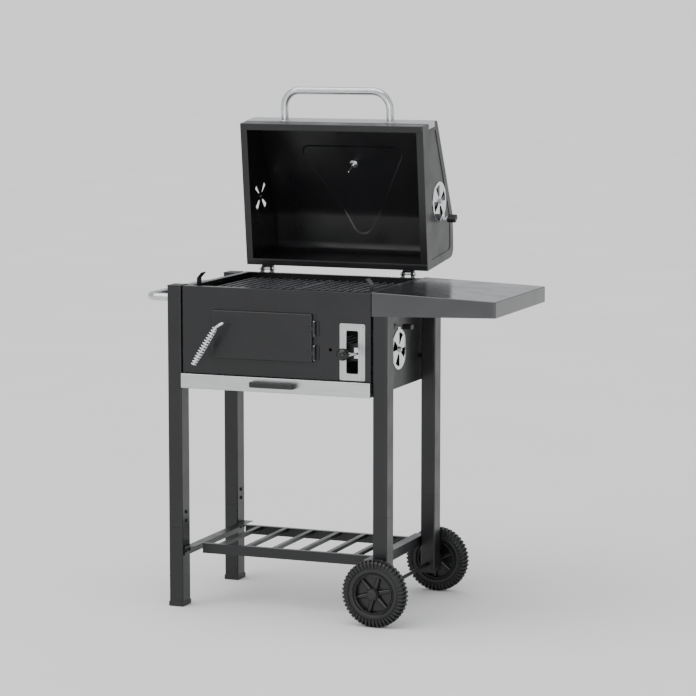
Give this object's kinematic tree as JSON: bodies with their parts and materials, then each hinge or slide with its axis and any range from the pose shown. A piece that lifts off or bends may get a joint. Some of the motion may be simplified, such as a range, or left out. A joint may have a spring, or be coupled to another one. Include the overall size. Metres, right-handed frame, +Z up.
{
  "type": "charcoal grill cart",
  "caption": "Charcoal grill cart: rectangular firebox on four legs, rear-hinged open hood, fire door, ash drawer, height lever, side table, slatted shelf, two wheels",
  "frame": {"origin": "on the ground, under the middle of the bounding box of the cart with its hood open", "axes": "+X to the right seen from the front (towards the side table and wheels), +Y to the back, +Z up"},
  "size_m": [0.999, 0.715, 1.3846],
  "materials": {
    "powder_coat": "satin anthracite powder coat",
    "stainless": "brushed stainless",
    "galvanised": "plain galvanised sheet",
    "chrome": "polished chrome plate",
    "plastic": "black moulded plastic, satin",
    "enamel": "black heat-proof enamel",
    "grate_iron": "dark enamelled iron bars",
    "needle_paint": "red paint"
  },
  "bodies": {
    "frame": {"leg_upper_front_left": "powder_coat", "leg_upper_rear_left": "powder_coat", "leg_upper_front_right": "powder_coat", "leg_upper_rear_right": "powder_coat", "leg_lower_front_left": "powder_coat", "leg_lower_rear_left": "powder_coat", "leg_lower_front_right": "powder_coat", "leg_lower_rear_right": "powder_coat", "leg_caps": "plastic", "frame_bolts": "chrome", "shelf_rail_front": "powder_coat", "shelf_rail_rear": "powder_coat", "shelf_rail_left": "powder_coat", "shelf_rail_right": "powder_coat", "shelf_slats": "powder_coat", "axle": "chrome", "hub_caps": "plastic", "firebox_front": "powder_coat", "firebox_rear": "powder_coat", "firebox_left": "powder_coat", "firebox_right": "powder_coat", "drawer_runners": "powder_coat", "bezel_plate": "stainless", "bezel_screws": "chrome", "door_hinge_leaves": "powder_coat", "door_hinge_pins": "chrome", "rack_hooks": "powder_coat", "side_table": "powder_coat", "carry_handle": "chrome", "firebox_damper_rivets": "chrome", "hood_hinge_brackets": "powder_coat", "hood_hinge_pins": "chrome"},
    "hood": {"hood_shell": "powder_coat", "hood_side_left": "powder_coat", "hood_side_right": "powder_coat", "hood_strip": "stainless", "hood_handle": "stainless", "hood_handle_rosettes": "stainless", "hood_damper_rivets": "chrome", "thermometer": "chrome", "hood_hinge_leaves": "powder_coat"},
    "hood_damper_left": {"hood_damper_left": "chrome"},
    "hood_damper_right": {"hood_damper_right": "chrome"},
    "needle": {"thermometer_needle": "needle_paint"},
    "door": {"fire_door": "powder_coat"},
    "latch": {"door_handle_rod": "chrome", "door_handle_coil": "chrome"},
    "drawer": {"ash_drawer": "galvanised", "drawer_front": "stainless", "drawer_handle": "plastic"},
    "lift": {"charcoal_pan": "enamel", "lift_lever": "chrome", "lever_knob": "plastic"},
    "charcoal_grate": {"charcoal_grate": "grate_iron"},
    "grate_left": {"cooking_grate_left": "grate_iron"},
    "grate_right": {"cooking_grate_right": "grate_iron"},
    "box_damper_left": {"firebox_damper_left": "chrome"},
    "box_damper_right": {"firebox_damper_right": "chrome"},
    "wheel_front": {"wheel_front": "plastic"},
    "wheel_rear": {"wheel_rear": "plastic"}
  },
  "joints": [
    {"name": "hood_hinge", "type": "hinge", "parent": "frame", "child": "hood", "pos_m": [-0.108, 0.15199, 0.877], "axis": [1, 0, 0], "range_deg": [0, 83.5]},
    {"name": "hood_damper_left_turn", "type": "hinge", "parent": "hood", "child": "hood_damper_left", "pos_m": [-0.375, 0.24045, 1.07227], "axis": [1, 0, 0], "range_deg": [-45, 0]},
    {"name": "hood_damper_right_turn", "type": "hinge", "parent": "hood", "child": "hood_damper_right", "pos_m": [0.159, 0.24045, 1.07227], "axis": [1, 0, 0], "range_deg": [-20, 25]},
    {"name": "needle_turn", "type": "hinge", "parent": "hood", "child": "needle", "pos_m": [-0.108, 0.29281, 1.17191], "axis": [0, 0.8963, 0.4434], "range_deg": [-240, 0]},
    {"name": "door_hinge", "type": "hinge", "parent": "frame", "child": "door", "pos_m": [0.0035, -0.29152, 0.746], "axis": [0, 0, 1], "range_deg": [0, 110]},
    {"name": "latch_turn", "type": "hinge", "parent": "door", "child": "latch", "pos_m": [-0.239, -0.29102, 0.78], "axis": [0, -1, 0], "range_deg": [0, 60]},
    {"name": "drawer_slide", "type": "slide", "parent": "frame", "child": "drawer", "axis": [0, -1, 0], "range_m": [0, 0.35]},
    {"name": "lift_slide", "type": "slide", "parent": "frame", "child": "lift", "axis": [0, 0, 1], "range_m": [-0.04, 0.048]},
    {"name": "charcoal_grate_lift", "type": "slide", "parent": "lift", "child": "charcoal_grate", "axis": [0, 0, 1], "range_m": [0, 0.06]},
    {"name": "grate_left_lift", "type": "slide", "parent": "frame", "child": "grate_left", "axis": [0, 0, -1], "range_m": [-0.06, 0]},
    {"name": "grate_right_lift", "type": "slide", "parent": "frame", "child": "grate_right", "axis": [0, 0, -1], "range_m": [-0.06, 0]},
    {"name": "box_damper_left_turn", "type": "hinge", "parent": "frame", "child": "box_damper_left", "pos_m": [-0.376, -0.07601, 0.7], "axis": [1, 0, 0], "range_deg": [-45, 0]},
    {"name": "box_damper_right_turn", "type": "hinge", "parent": "frame", "child": "box_damper_right", "pos_m": [0.16, -0.07601, 0.7], "axis": [1, 0, 0], "range_deg": [-45, 0]},
    {"name": "wheel_front_spin", "type": "hinge", "parent": "frame", "child": "wheel_front", "pos_m": [0.185, -0.31901, 0.089], "axis": [0, 1, 0], "continuous": true},
    {"name": "wheel_rear_spin", "type": "hinge", "parent": "frame", "child": "wheel_rear", "pos_m": [0.185, 0.16698, 0.089], "axis": [0, 1, 0], "continuous": true}
  ]
}
